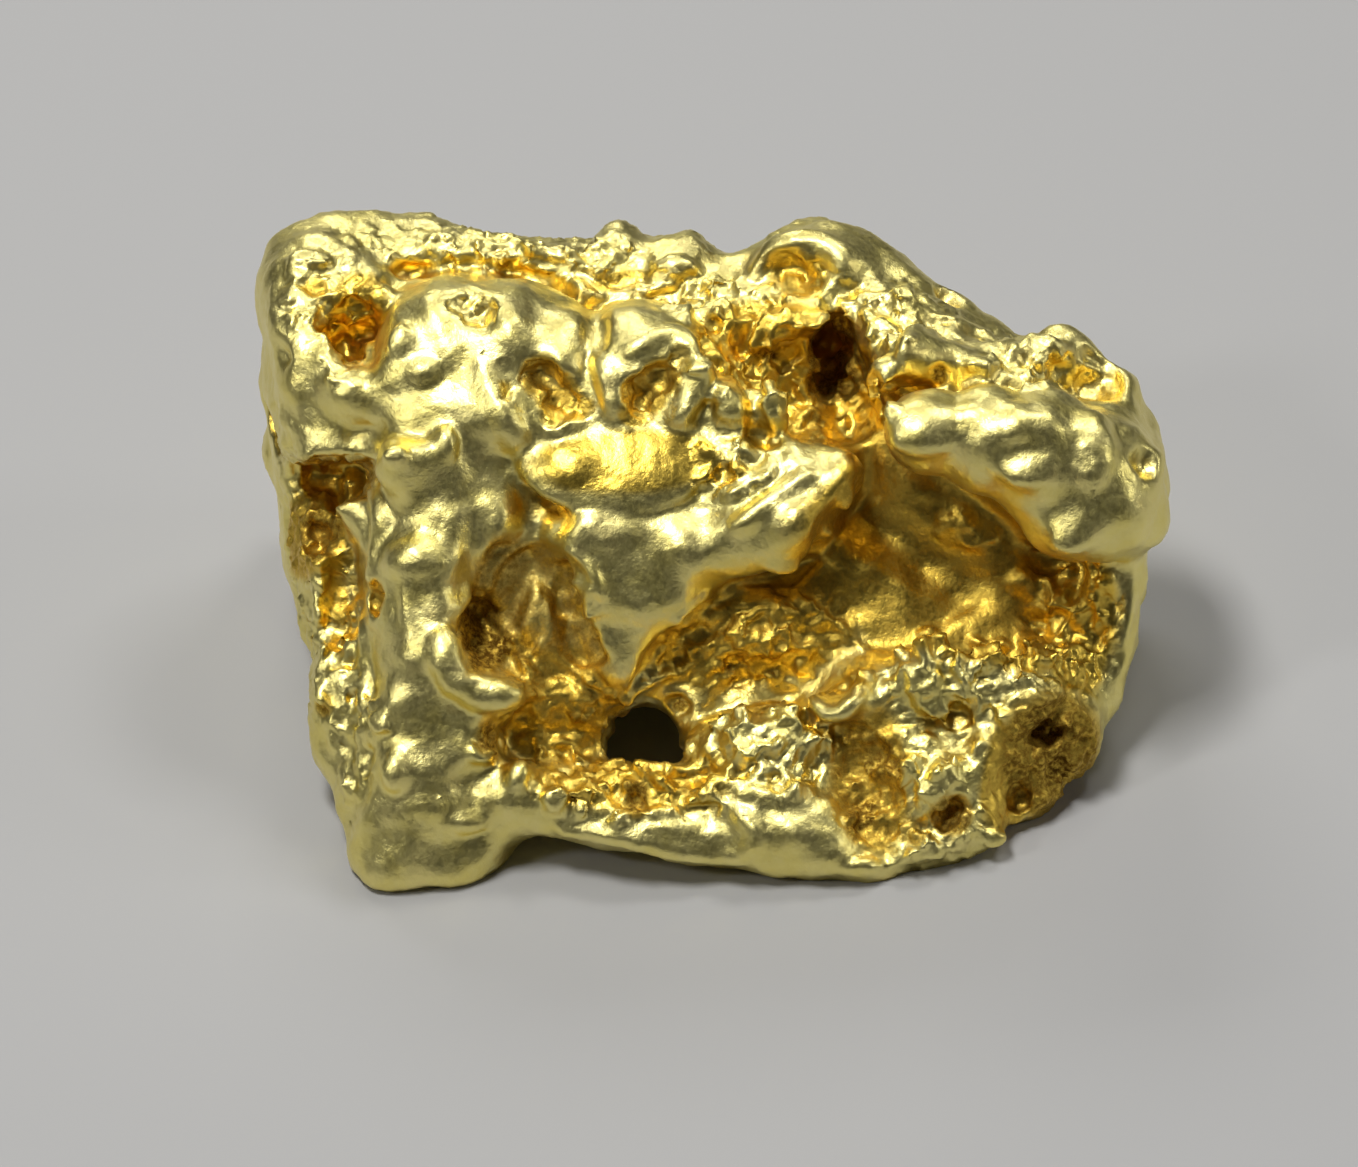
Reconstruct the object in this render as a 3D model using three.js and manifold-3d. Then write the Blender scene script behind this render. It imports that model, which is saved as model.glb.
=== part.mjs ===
// A natural gold nugget: one solid of native gold, worn round on its lobes. It has pits, the flat-sided
// moulds that quartz crystals left behind, an undercut below its front lip and one small hole through
// that lip. Units are millimetres, +Z is up, and the nugget rests on three worn feet at z = 0.
// The origin is the middle of the nugget's bounding box, on the surface that it rests on.
//
// The nugget is one field: negative inside the gold, positive outside, and about the distance to the
// surface in millimetres. A rounded hull of flat cuts comes first, then lobes that melt into it, then
// the hollows. Marching cubes turn the field into a closed mesh, and a block cuts the feet flat.
import * as THREE from "three";
import { mergeVertices } from "three/addons/utils/BufferGeometryUtils.js";
import { MarchingCubes } from "three/addons/objects/MarchingCubes.js";
import { ImprovedNoise } from "three/addons/math/ImprovedNoise.js";
import Module from "manifold-3d";

// Driving dimensions.
const FACE_LEAN = 40; // degrees that the broad face's outward normal points above the horizontal
const FACE_DIP = 5.3; // degrees that the broad face's long direction dips to the right
const FACE_CENTRE = [0, 2.8, 3.33]; // the middle of the broad face: height over the resting surface last
const HULL_ROUNDING = 0.55; // how softly the hull's flat cuts meet
const LOBE_BLEND = 0.3; // how softly a lobe melts into what it sits on
const HOLLOW_BLEND = 0.14; // how round the rim of a hollow is worn
const SWELL = 0.12; // height of the slow swells over the whole surface
const SWELL_LENGTH = 1.1; // and their length
const FOOT_TRIM = 0.05; // depth worn off the lowest foot
const GRID_STEP = 0.303; // distance between the points that the field is sampled at
const GRID_CELLS = 64; // samples along each side: a power of two, so that neighbours' corners agree
const GRID_CENTRE = [0, 3.8, 2.7];
const LEAST_DEPTH = 0.02; // a sample nearer to the surface than this is moved off it, so no face is a sliver
const MOST_TRIANGLES = 16000;
const MERGE_DISTANCE = 1e-4; // corners closer than this are one
const FLOOR_BLOCK = [30, 30, 2]; // the block that cuts the feet flat

// The broad face's frame: x across the face, y up its slope, z straight out of it.
const faceFrame = new THREE.Matrix4()
  .makeTranslation(...FACE_CENTRE)
  .multiply(new THREE.Matrix4().makeRotationX(THREE.MathUtils.degToRad(90 - FACE_LEAN)))
  .multiply(new THREE.Matrix4().makeRotationZ(THREE.MathUtils.degToRad(-FACE_DIP)));
const groundFrame = new THREE.Matrix4();

// Shapes. Each is a function from a point to about its distance outside the shape.
function inOwnFrame(frame, at, turn) {
  const turned = new THREE.Quaternion().setFromEuler(
    new THREE.Euler(...turn.map(THREE.MathUtils.degToRad)),
  );
  const own = new THREE.Matrix4().compose(
    new THREE.Vector3(...at),
    turned,
    new THREE.Vector3(1, 1, 1),
  );
  return new THREE.Matrix4().multiplyMatrices(frame, own).invert();
}

function ellipsoid(frame, at, radii, turn = [0, 0, 0]) {
  const toOwn = inOwnFrame(frame, at, turn);
  const inner = new THREE.Vector3();
  const shrunk = new THREE.Vector3();
  const radius = new THREE.Vector3(...radii);
  return (point) => {
    inner.copy(point).applyMatrix4(toOwn).divide(radius);
    const reach = inner.length();
    const slope = shrunk.copy(inner).divide(radius).length();
    return reach < 1e-6 ? -Math.min(...radii) : (reach * (reach - 1)) / slope;
  };
}

// A flat-sided block with half sides, as a crystal leaves behind.
function crystal(frame, at, halfSides, turn = [0, 0, 0]) {
  const toOwn = inOwnFrame(frame, at, turn);
  const inner = new THREE.Vector3();
  const half = new THREE.Vector3(...halfSides);
  return (point) => {
    inner.copy(point).applyMatrix4(toOwn);
    inner.set(Math.abs(inner.x), Math.abs(inner.y), Math.abs(inner.z)).sub(half);
    const deepest = Math.min(Math.max(inner.x, inner.y, inner.z), 0);
    return inner.max(new THREE.Vector3()).length() + deepest;
  };
}

// A round bar from one point to another, whose radius changes evenly.
function bar(frame, from, to, fromRadius, toRadius = fromRadius) {
  const start = new THREE.Vector3(...from).applyMatrix4(frame);
  const along = new THREE.Vector3(...to).applyMatrix4(frame).sub(start);
  const away = new THREE.Vector3();
  return (point) => {
    away.copy(point).sub(start);
    const share = THREE.MathUtils.clamp(away.dot(along) / along.lengthSq(), 0, 1);
    const radius = THREE.MathUtils.lerp(fromRadius, toRadius, share);
    return away.addScaledVector(along, -share).length() - radius;
  };
}

// Everything on the far side of a plane that passes through a point and faces the given way.
function beyond(frame, through, facing) {
  const onPlane = new THREE.Vector3(...through).applyMatrix4(frame);
  const normal = new THREE.Vector3(...facing).transformDirection(frame);
  return (point) => normal.dot(point) - normal.dot(onPlane);
}

const smoothLeast = (a, b, softness) => {
  const near = Math.max(softness - Math.abs(a - b), 0) / softness;
  return Math.min(a, b) - (near * near * softness) / 4;
};
const smoothMost = (a, b, softness) => -smoothLeast(-a, -b, softness);

// The hull's cuts. Those on the face's frame run straight back from the broad face's outline.
const hullCuts = [
  beyond(faceFrame, [0, 0, -0.6], [0, 0, 1]), // broad face
  beyond(groundFrame, [-3, 0, 5.3], [0.1, 0, 1]), // top
  beyond(faceFrame, [-4.0, 4.45, 0], [0.07, 1, 0]), // back of the top, left
  beyond(faceFrame, [3.6, 3.0, 0], [0.6, 0.8, 0]), // back of the top, right
  beyond(groundFrame, [-5, 8.05, 0], [0.25, 1, 0.12]), // back
  beyond(faceFrame, [-6.0, 1.5, 0], [-1, 0.03, 0]), // left, upper
  beyond(faceFrame, [-5.5, -1.7, 0], [-1, -0.19, 0]), // left, lower
  beyond(groundFrame, [-4.55, 1.0, 0], [-0.96, -0.28, 0.05]), // left face
  beyond(faceFrame, [5.5, -0.9, 0], [1, -0.27, 0]), // right
  beyond(faceFrame, [4.55, -3.55, 0], [0.62, -0.78, 0]), // right, lower
  beyond(groundFrame, [0, 0, 0.05], [0, 0.08, -1]), // underside
];

// The lobes: their places across the broad face, up it and out of it, and their radii.
const onFace = (...measures) => ellipsoid(faceFrame, ...measures);
const onGround = (...measures) => ellipsoid(groundFrame, ...measures);
const barOnFace = (...measures) => bar(faceFrame, ...measures);
const crystalOnFace = (...measures) => crystal(faceFrame, ...measures);
const lobes = [
  // Along the top of the broad face, from left to right.
  onFace([-4.95, 3.2, -2.5], [1.0, 1.22, 1.3]),
  onFace([-5.35, 2.1, -2.3], [0.55, 0.6, 0.7]),
  onFace([-4.5, 1.95, -1.4], [0.65, 0.36, 0.6]),
  onFace([-2.9, 2.35, -1.15], [1.5, 1.2, 1.15]),
  onFace([-0.75, 2.35, -0.85], [0.92, 1.0, 0.9]),
  onFace([0.54, 1.78, -0.3], [0.5, 0.38, 0.42]),
  onFace([2.6, 2.5, -0.9], [0.75, 0.55, 0.6]),
  onFace([3.6, 2.35, -0.6], [0.65, 0.42, 0.6]),
  // Along the back of the top.
  barOnFace([-4.6, 3.95, -2.6], [-0.9, 3.4, -2.4], 0.52),
  onFace([-0.45, 3.75, -2.2], [0.6, 0.4, 0.6]),
  onFace([0.4, 3.3, -2.2], [0.9, 0.55, 0.7]),
  onFace([1.5, 3.5, -1.9], [0.98, 0.86, 0.9]),
  barOnFace([2.0, 3.7, -1.9], [3.6, 2.55, -1.6], 0.45),
  onFace([4.5, 2.25, -1.1], [0.8, 0.6, 0.8]),
  onFace([5.2, 1.45, -1.0], [0.72, 0.8, 0.9]),
  // The knob at the right.
  barOnFace([2.9, 1.5, 0.2], [4.1, 1.25, 0.15], 0.52, 0.85),
  barOnFace([4.1, 1.25, 0.15], [4.95, 0.8, -0.05], 0.85, 1.05),
  // The pillar at the left and the foot below it.
  barOnFace([-3.6, 1.5, -0.6], [-3.6, -1.0, -0.35], 0.75, 0.66),
  barOnFace([-3.6, -1.0, -0.35], [-3.75, -3.2, -0.5], 0.66, 0.78),
  onFace([-3.7, -3.95, -0.75], [1.1, 0.75, 0.8]),
  // The shelf in the middle, its tongue, and the lobe at its right.
  onFace([-0.85, 0.15, -0.3], [1.22, 0.62, 0.7]),
  onFace([-0.8, -0.45, -0.3], [0.95, 0.6, 0.6]),
  barOnFace([-0.9, -0.8, -0.35], [-1.1, -1.55, -0.4], 0.6, 0.25),
  onFace([1.15, 0.55, -0.2], [0.85, 0.72, 0.72], [0, 0, 25]),
  // The lip over the undercut, and the lower right.
  barOnFace([-2.6, -3.2, -0.25], [-1.0, -3.5, -0.05], 0.5, 0.4),
  barOnFace([-1.0, -3.55, 0.0], [0.8, -3.85, 0.05], 0.34, 0.45),
  onFace([-0.2, -3.2, -0.45], [1.8, 0.7, 0.5]),
  onFace([1.4, -3.7, 0.0], [1.0, 0.65, 0.65]),
  onFace([0.85, -2.6, -0.2], [0.9, 0.65, 0.42]),
  onFace([2.9, -3.3, -0.1], [1.0, 1.0, 0.62]),
  onFace([1.8, -1.75, -0.15], [0.42, 0.42, 0.42]),
  onFace([2.9, -1.7, -0.1], [0.6, 0.55, 0.5]),
  onFace([4.0, -1.9, -0.4], [0.8, 1.1, 0.7]),
  barOnFace([5.3, -0.3, -0.9], [5.1, -1.6, -1.0], 0.32),
  // The back, from left to right.
  onGround([-4.6, 7.5, 1.7], [1.1, 0.8, 1.1]),
  onGround([-3.5, 7.3, 3.7], [1.5, 0.9, 1.3]),
  onGround([-1.2, 7.0, 2.2], [1.3, 0.85, 1.2]),
  onGround([1.1, 6.5, 3.1], [1.25, 0.85, 1.1]),
  onGround([3.3, 5.8, 2.2], [1.1, 0.85, 1.0]),
  onGround([5.0, 4.6, 2.1], [0.8, 0.9, 0.8]),
  // The rear feet.
  onGround([-2.4, 6.9, 0.75], [1.1, 0.8, 0.85]),
  onGround([1.9, 5.9, 0.75], [1.1, 0.8, 0.85]),
];

const hollows = [
  // The deep recess at the top, from left to right.
  onFace([0.75, 2.5, -0.55], [0.75, 0.5, 0.75]),
  onFace([1.55, 2.5, -1.0], [0.45, 0.62, 1.1]),
  onFace([1.75, 1.75, -0.5], [0.5, 0.45, 0.8]),
  // Pits in the lobes and in the top-left corner.
  onFace([-2.0, 2.06, 0.1], [0.42, 0.42, 0.5]),
  onFace([-0.8, 2.1, 0.1], [0.33, 0.38, 0.4]),
  onFace([-4.7, 2.75, -1.3], [0.35, 0.5, 0.55]),
  onFace([1.15, 3.62, -1.1], [0.42, 0.32, 0.5]),
  // The ledge above the shelf.
  onFace([-0.75, 1.12, 0.3], [1.25, 0.3, 0.75], [-35, 0, 0]),
  // Quartz moulds left of the tongue and right of the shelf.
  crystalOnFace([-2.05, -0.85, 0.2], [0.55, 0.9, 0.75], [20, 30, -20]),
  onFace([-2.85, -1.15, 0.15], [0.42, 0.5, 0.45]),
  crystalOnFace([2.75, 0.15, 0.25], [1.1, 0.95, 0.95], [25, -20, -30]),
  crystalOnFace([4.1, -0.45, 0.0], [0.8, 0.6, 0.75], [10, 20, -20]),
  // The rough hollow below the shelf and the pockets below that.
  onFace([0.5, -1.45, -0.1], [1.25, 0.6, 0.7]),
  onFace([-1.95, -2.3, 0.05], [0.5, 0.4, 0.45]),
  onFace([-2.7, -2.45, 0.15], [0.3, 0.28, 0.35]),
  onFace([1.55, -1.55, 0.1], [0.4, 0.4, 0.45]),
  onFace([2.06, -3.2, 0.45], [0.35, 0.8, 0.5]),
  onFace([4.8, -1.2, -0.1], [0.38, 0.85, 0.75]),
  // The left face.
  onFace([-5.1, 0.95, -1.6], [0.8, 0.42, 0.6]),
  onFace([-4.8, -0.5, -1.0], [0.35, 0.9, 0.5]),
  // The back.
  onGround([-2.4, 8.0, 2.9], [0.5, 0.5, 0.6]),
  onGround([0.1, 7.4, 3.9], [0.5, 0.6, 0.45]),
  onGround([2.4, 6.7, 1.6], [0.55, 0.5, 0.5]),
  // The undercut between the feet, and the hole through the lip above it.
  onGround([-1.1, 3.5, -0.1], [1.9, 2.95, 1.18]),
  barOnFace([-0.78, -2.43, 0.8], [-0.8, -2.42, -2.0], 0.37, 0.42),
];

const swells = new ImprovedNoise();
const wave = new THREE.Vector3();
function field(point) {
  let distance = hullCuts
    .map((cut) => cut(point))
    .reduce((a, b) => smoothMost(a, b, HULL_ROUNDING));
  for (const lobe of lobes) distance = smoothLeast(distance, lobe(point), LOBE_BLEND);
  for (const hollow of hollows) distance = smoothMost(distance, -hollow(point), HOLLOW_BLEND);
  wave.copy(point).divideScalar(SWELL_LENGTH);
  return distance + SWELL * swells.noise(wave.x, wave.y, wave.z);
}

// Samples the field over the grid and gives its zero surface as a closed mesh.
function surfaceOf(distanceAt) {
  const cubes = new MarchingCubes(GRID_CELLS, undefined, false, false, MOST_TRIANGLES);
  cubes.isolation = 0;
  const half = (GRID_STEP * GRID_CELLS) / 2;
  const point = new THREE.Vector3();
  const along = (index) => (index / (GRID_CELLS / 2) - 1) * half;
  for (let k = 0; k < GRID_CELLS; k++)
    for (let j = 0; j < GRID_CELLS; j++)
      for (let i = 0; i < GRID_CELLS; i++) {
        point.set(along(i), along(j), along(k)).add(new THREE.Vector3(...GRID_CENTRE));
        const depth = -distanceAt(point);
        const onSurface = Math.abs(depth) < LEAST_DEPTH;
        cubes.setCell(i, j, k, onSurface ? LEAST_DEPTH * Math.sign(depth || 1) : depth);
      }
  cubes.update();
  const corners = cubes.positionArray.slice(0, cubes.count * 3);
  const surface = new THREE.BufferGeometry();
  surface.setAttribute("position", new THREE.BufferAttribute(corners, 3));
  surface.scale(half, half, half);
  surface.translate(...GRID_CENTRE);
  return surface;
}

const manifold = await Module();
manifold.setup();

function asSolid(geometry) {
  geometry.deleteAttribute("normal");
  geometry.deleteAttribute("uv");
  const merged = mergeVertices(geometry, MERGE_DISTANCE);
  return new manifold.Manifold(
    new manifold.Mesh({
      numProp: 3,
      vertProperties: merged.attributes.position.array,
      triVerts: new Uint32Array(merged.index.array),
    }),
  );
}

function asGeometry(solid) {
  const mesh = solid.getMesh();
  return new THREE.BufferGeometry()
    .setAttribute("position", new THREE.BufferAttribute(mesh.vertProperties, 3))
    .setIndex(new THREE.BufferAttribute(mesh.triVerts, 1));
}

// Cuts the feet flat and moves the nugget over its origin.
function stoodOnItsFeet(solid) {
  const floor = new THREE.BoxGeometry(...FLOOR_BLOCK).translate(0, 0, FOOT_TRIM - FLOOR_BLOCK[2] / 2);
  const cut = asGeometry(solid.subtract(asSolid(floor)));
  cut.computeBoundingBox();
  const middle = cut.boundingBox.getCenter(new THREE.Vector3());
  return cut.translate(-middle.x, -middle.y, -cut.boundingBox.min.z);
}

const gold = new THREE.MeshStandardMaterial({ color: 0xd9b45a, roughness: 0.3, metalness: 1 });
const nugget = new THREE.Mesh(stoodOnItsFeet(asSolid(surfaceOf(field))), gold);
nugget.name = "nugget";
const part = new THREE.Group();
part.add(nugget);
export default part;
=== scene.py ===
"""A natural gold nugget: worn lobes, hollows, crystal moulds and stains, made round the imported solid."""

import math
import random

import bpy
import numpy as np
from mathutils import Euler, Matrix, Vector
from mathutils.bvhtree import BVHTree


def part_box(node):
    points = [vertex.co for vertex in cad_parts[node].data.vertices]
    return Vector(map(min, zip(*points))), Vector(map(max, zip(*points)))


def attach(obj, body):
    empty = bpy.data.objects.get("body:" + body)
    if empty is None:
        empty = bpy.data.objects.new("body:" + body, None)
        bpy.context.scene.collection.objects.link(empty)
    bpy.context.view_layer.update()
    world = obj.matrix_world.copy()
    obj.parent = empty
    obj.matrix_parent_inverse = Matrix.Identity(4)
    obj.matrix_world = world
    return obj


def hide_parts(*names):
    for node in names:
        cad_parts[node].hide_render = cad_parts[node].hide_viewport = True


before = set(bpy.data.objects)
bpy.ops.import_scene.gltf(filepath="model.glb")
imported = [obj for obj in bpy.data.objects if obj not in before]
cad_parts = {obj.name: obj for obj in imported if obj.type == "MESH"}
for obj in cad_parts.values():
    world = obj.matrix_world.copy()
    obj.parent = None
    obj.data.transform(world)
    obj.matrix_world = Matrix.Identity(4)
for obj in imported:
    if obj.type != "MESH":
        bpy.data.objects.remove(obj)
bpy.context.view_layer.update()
solid_low, solid_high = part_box("nugget")

# The nugget is worked in units of a millimetre, and brought down to metres at the end.
MM = 0.001
NUGGET_LOW = Vector(solid_low) / MM
NUGGET_SIZE = (Vector(solid_high) - Vector(solid_low)) / MM

# The broad face leans back. Its frame has x across the face, y up its slope and z straight out of it.
FACE_LEAN = math.radians(40.0)
FACE_DIP = math.radians(5.3)
FACE_PLACE = (0.4885, 0.3583, 0.5709)  # its middle, as shares of the solid's box
FACE_CENTRE = NUGGET_LOW + Vector([share * side for share, side in zip(FACE_PLACE, NUGGET_SIZE)])
FACE = (
    Matrix.Translation(FACE_CENTRE)
    @ Matrix.Rotation(math.pi / 2 - FACE_LEAN, 4, "X")
    @ Matrix.Rotation(-FACE_DIP, 4, "Z")
)
GROUND = Matrix.Translation(NUGGET_LOW)

# Grain of the working mesh at each step, in millimetres.
ROUGH_VOXEL = 0.08
FINE_VOXEL = 0.05
MOST_TRIANGLES = 190000
ROUGH_LEVELS = 10
HOLD_MARGIN = 0.8
FLOOR_BLOCK = 30.0

# How far the gold round a place can hide it, and how many ways that is looked for: this sets the painted
# shade.
SHELTER_REACH = 1.5
SHELTER_RAYS = 14


# ---------------------------------------------------------------- camera


def set_camera():
    """Looks straight at the broad face, from far off with a long lens."""
    aim = (-0.40, -0.43)
    distance = 150.0
    view_width = 17.5
    data = bpy.data.cameras.new("camera")
    data.sensor_width = 36.0
    data.lens = data.sensor_width * distance / view_width
    data.clip_start = 0.001
    data.clip_end = 10.0
    camera = bpy.data.objects.new("camera", data)
    bpy.context.scene.collection.objects.link(camera)
    place = FACE @ Matrix.Translation((*aim, distance))
    place.translation *= MM
    camera.matrix_world = place
    bpy.context.scene.camera = camera


set_camera()


# ---------------------------------------------------------------- modelling steps


def only(*pieces):
    """Makes these the only selected objects, and the first one active."""
    bpy.ops.object.select_all(action="DESELECT")
    for piece in pieces:
        piece.select_set(True)
    bpy.context.view_layer.objects.active = pieces[0]


def apply(piece, name):
    only(piece)
    bpy.ops.object.modifier_apply(modifier=name)


def remesh(piece, voxel):
    step = piece.modifiers.new("remesh", "REMESH")
    step.mode = "VOXEL"
    step.voxel_size = voxel
    step.use_smooth_shade = True
    apply(piece, step.name)


def smooth(piece, turns, factor=0.5):
    step = piece.modifiers.new("smooth", "SMOOTH")
    step.iterations = turns
    step.factor = factor
    apply(piece, step.name)


def joined(pieces):
    only(*pieces)
    if len(pieces) > 1:
        bpy.ops.object.join()
    bpy.ops.object.transform_apply(location=True, rotation=True, scale=True)
    return bpy.context.active_object


def stand(piece, at, size, turn, place):
    turned = Euler([math.radians(angle) for angle in turn])
    piece.matrix_world = place @ Matrix.LocRotScale(Vector(at), turned, Vector(size))


def lump(at, size, turn=(0, 0, 0), rounds=4, place=FACE):
    """An ellipsoid. at is its middle and size its three radii, in the broad face's frame."""
    bpy.ops.mesh.primitive_ico_sphere_add(subdivisions=rounds, radius=1)
    piece = bpy.context.active_object
    stand(piece, at, size, turn, place)
    return [piece]


def crystal(at, half_sides, turn=(0, 0, 0), bevel=0.03, place=FACE):
    """A flat-sided block with slightly worn edges, the shape of a quartz crystal's mould."""
    bpy.ops.mesh.primitive_cube_add(size=2)
    piece = bpy.context.active_object
    stand(piece, at, half_sides, turn, place)
    only(piece)
    bpy.ops.object.transform_apply(location=True, rotation=True, scale=True)
    step = piece.modifiers.new("worn", "BEVEL")
    step.width = bevel
    step.segments = 2
    apply(piece, step.name)
    return [piece]


def curved(points, spacing):
    """Evenly spread points on a smooth curve through the given ones, each with its share of the way."""
    line = [Vector(point) for point in points]
    spans = len(line) - 1
    route = []
    for span in range(spans):
        before, start = line[max(span - 1, 0)], line[span]
        end, after = line[span + 1], line[min(span + 2, spans)]
        steps = max(1, round((end - start).length / spacing))
        for step in range(steps + (span == spans - 1)):
            share = step / steps
            along = 0.5 * (
                2 * start
                + (end - before) * share
                + (2 * before - 5 * start + 4 * end - after) * share**2
                + (3 * start - before - 3 * end + after) * share**3
            )
            route.append((along, (span + share) / spans))
    return route


class Surface:
    """Finds places on the body's skin, and gives them in the broad face's frame."""

    def __init__(self, body):
        self.to_face = FACE.inverted()
        corners = [self.to_face @ corner.co for corner in body.data.vertices]
        faces = [face.vertices[:] for face in body.data.polygons]
        self.tree = BVHTree.FromPolygons(corners, faces)

    def level(self, azimuth, height):
        """Where a level line toward the nugget's middle first meets the skin, and the line's direction."""
        out = Vector((math.cos(math.radians(azimuth)), math.sin(math.radians(azimuth)), 0))
        start = self.to_face @ (out * 20 + Vector((0, 0, height)))
        inward = self.to_face.to_3x3() @ -out
        return self.tree.ray_cast(start, inward)[0], inward

    def under(self, across, up, out=0.0):
        hit = self.tree.ray_cast(Vector((across, up, 10)), Vector((0, 0, -1)))[0]
        return Vector((across, up, hit.z + out)) if hit else None


def bead(surface, across, up, size, turn=(0, 0, 0), sunk=0.5, rounds=3):
    """A small lump that sits on the skin, sunk by a share of its height."""
    at = surface.under(across, up, size[2] * (1 - 2 * sunk))
    return lump(at, size, turn, rounds) if at else []


def ridge(surface, points, radius, end_radius=None, sunk=0.5):
    """A raised line on the skin: small lumps along a curve through points on the broad face."""
    end_radius = radius if end_radius is None else end_radius
    pieces = []
    flat = [(across, up, 0) for across, up in points]
    for along, share in curved(flat, 0.5 * min(radius, end_radius)):
        thick = (radius + (end_radius - radius) * share) * (0.7 + 0.3 * math.sin(math.pi * share))
        pieces += bead(surface, along.x, along.y, (thick, thick, thick), sunk=sunk, rounds=2)
    return [joined(pieces)]


def grains(surface, at, spread, count, smallest, largest, seed, stretch=1.0, lean=0.0):
    """Small flat-sided grains scattered over an oval patch of the skin."""
    draw = random.Random(seed)
    pieces = []
    for _ in range(count):
        angle = draw.uniform(0, 2 * math.pi)
        reach = math.sqrt(draw.random())
        radius = draw.uniform(smallest, largest)
        size = [radius * draw.uniform(0.5, 1.0) for _ in range(3)]
        size[1] *= stretch
        turn = [draw.uniform(-40, 40), draw.uniform(-40, 40), lean + draw.uniform(-25, 25)]
        across = at[0] + reach * math.cos(angle) * spread[0]
        up = at[1] + reach * math.sin(angle) * spread[1]
        place = surface.under(across, up, -0.3 * radius)
        if place:
            bpy.ops.mesh.primitive_cube_add(size=2)
            piece = bpy.context.active_object
            stand(piece, place, size, turn, FACE)
            pieces.append(piece)
    return [joined(pieces)]


def add(body, pieces, voxel, smoothing):
    """Fuses pieces to the body and softens where they meet."""
    whole = joined([body, *pieces])
    remesh(whole, voxel)
    smooth(whole, smoothing)
    return whole


def cut(body, pieces, voxel, smoothing):
    """Takes pieces out of the body."""
    cutter = joined(pieces)
    remesh(cutter, voxel)
    step = body.modifiers.new("cut", "BOOLEAN")
    step.operation = "DIFFERENCE"
    step.solver = "MANIFOLD"
    step.object = cutter
    apply(body, step.name)
    bpy.data.objects.remove(cutter)
    remesh(body, voxel)
    smooth(body, smoothing)
    return body


def read(points, what, width=3):
    values = np.empty(len(points) * width, dtype=np.float32)
    points.foreach_get(what, values)
    return values.reshape(-1, width)


def face_corners(body):
    """The body's corners in the broad face's frame."""
    to_face = np.array(FACE.inverted())
    return read(body.data.vertices, "co") @ to_face[:3, :3].T + to_face[:3, 3]


def press(body, strokes):
    """Works the skin as a thumb does: each stroke raises or sinks a soft line."""
    skin = Surface(body)
    corners = face_corners(body)
    moved = np.zeros(len(corners))
    for points, radius, height in strokes:
        nearest = np.full(len(corners), np.inf)
        flat = [(across, up, 0) for across, up in points]
        for along, _ in curved(flat, 0.4 * radius):
            at = skin.under(along.x, along.y)
            if at:
                nearest = np.minimum(nearest, ((corners - np.array(at)) ** 2).sum(axis=1))
        near = np.clip(1 - nearest / radius**2, 0, 1)
        moved += height * near**2
    normals = read(body.data.vertex_normals, "vector")
    placed = read(body.data.vertices, "co") + normals * moved[:, None].astype(np.float32)
    body.data.vertices.foreach_set("co", placed.ravel())
    body.data.update()


def copy_of_solid():
    """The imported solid's own mesh, merged, in millimetres."""
    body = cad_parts["nugget"].copy()
    body.data = body.data.copy()
    body.parent = None
    bpy.context.scene.collection.objects.link(body)
    body.data.transform(Matrix.Scale(1 / MM, 4))
    only(body)
    bpy.ops.object.mode_set(mode="EDIT")
    bpy.ops.mesh.select_all(action="SELECT")
    bpy.ops.mesh.remove_doubles(threshold=0.001)
    bpy.ops.object.mode_set(mode="OBJECT")
    for key in list(body.keys()):
        del body[key]
    return body


# ---------------------------------------------------------------- the nugget's masses


def top_left_masses():
    return [
        *lump((-5.46, 2.98, -1.4), (0.4, 0.38, 0.55), (0, 0, -35)),
        *lump((-5.42, 2.15, -1.4), (0.3, 0.4, 0.55)),
        *lump((-4.5, 1.98, -0.75), (0.66, 0.32, 0.5), (0, 0, -4)),
        *lump((-5.05, 3.7, -2.2), (0.8, 0.5, 0.5)),
        *lump((-5.3, 3.95, -2.5), (0.55, 0.45, 0.5)),
        *lump((-4.1, 4.1, -2.7), (1.1, 0.42, 0.5), (0, 0, -3)),
        *lump((-5.2, 1.45, -1.7), (0.5, 0.4, 0.7)),
        *lump((-4.3, 3.3, -1.45), (0.5, 0.4, 0.5), (0, 0, 30)),
        *lump((-3.3, 3.85, -2.3), (1.3, 0.45, 0.6), (0, 0, -6)),
        *lump((-1.9, 3.6, -2.2), (1.3, 0.42, 0.6), (0, 0, -10)),
        *lump((-0.6, 3.25, -1.9), (0.7, 0.4, 0.6), (0, 0, -15)),
    ]


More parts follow.
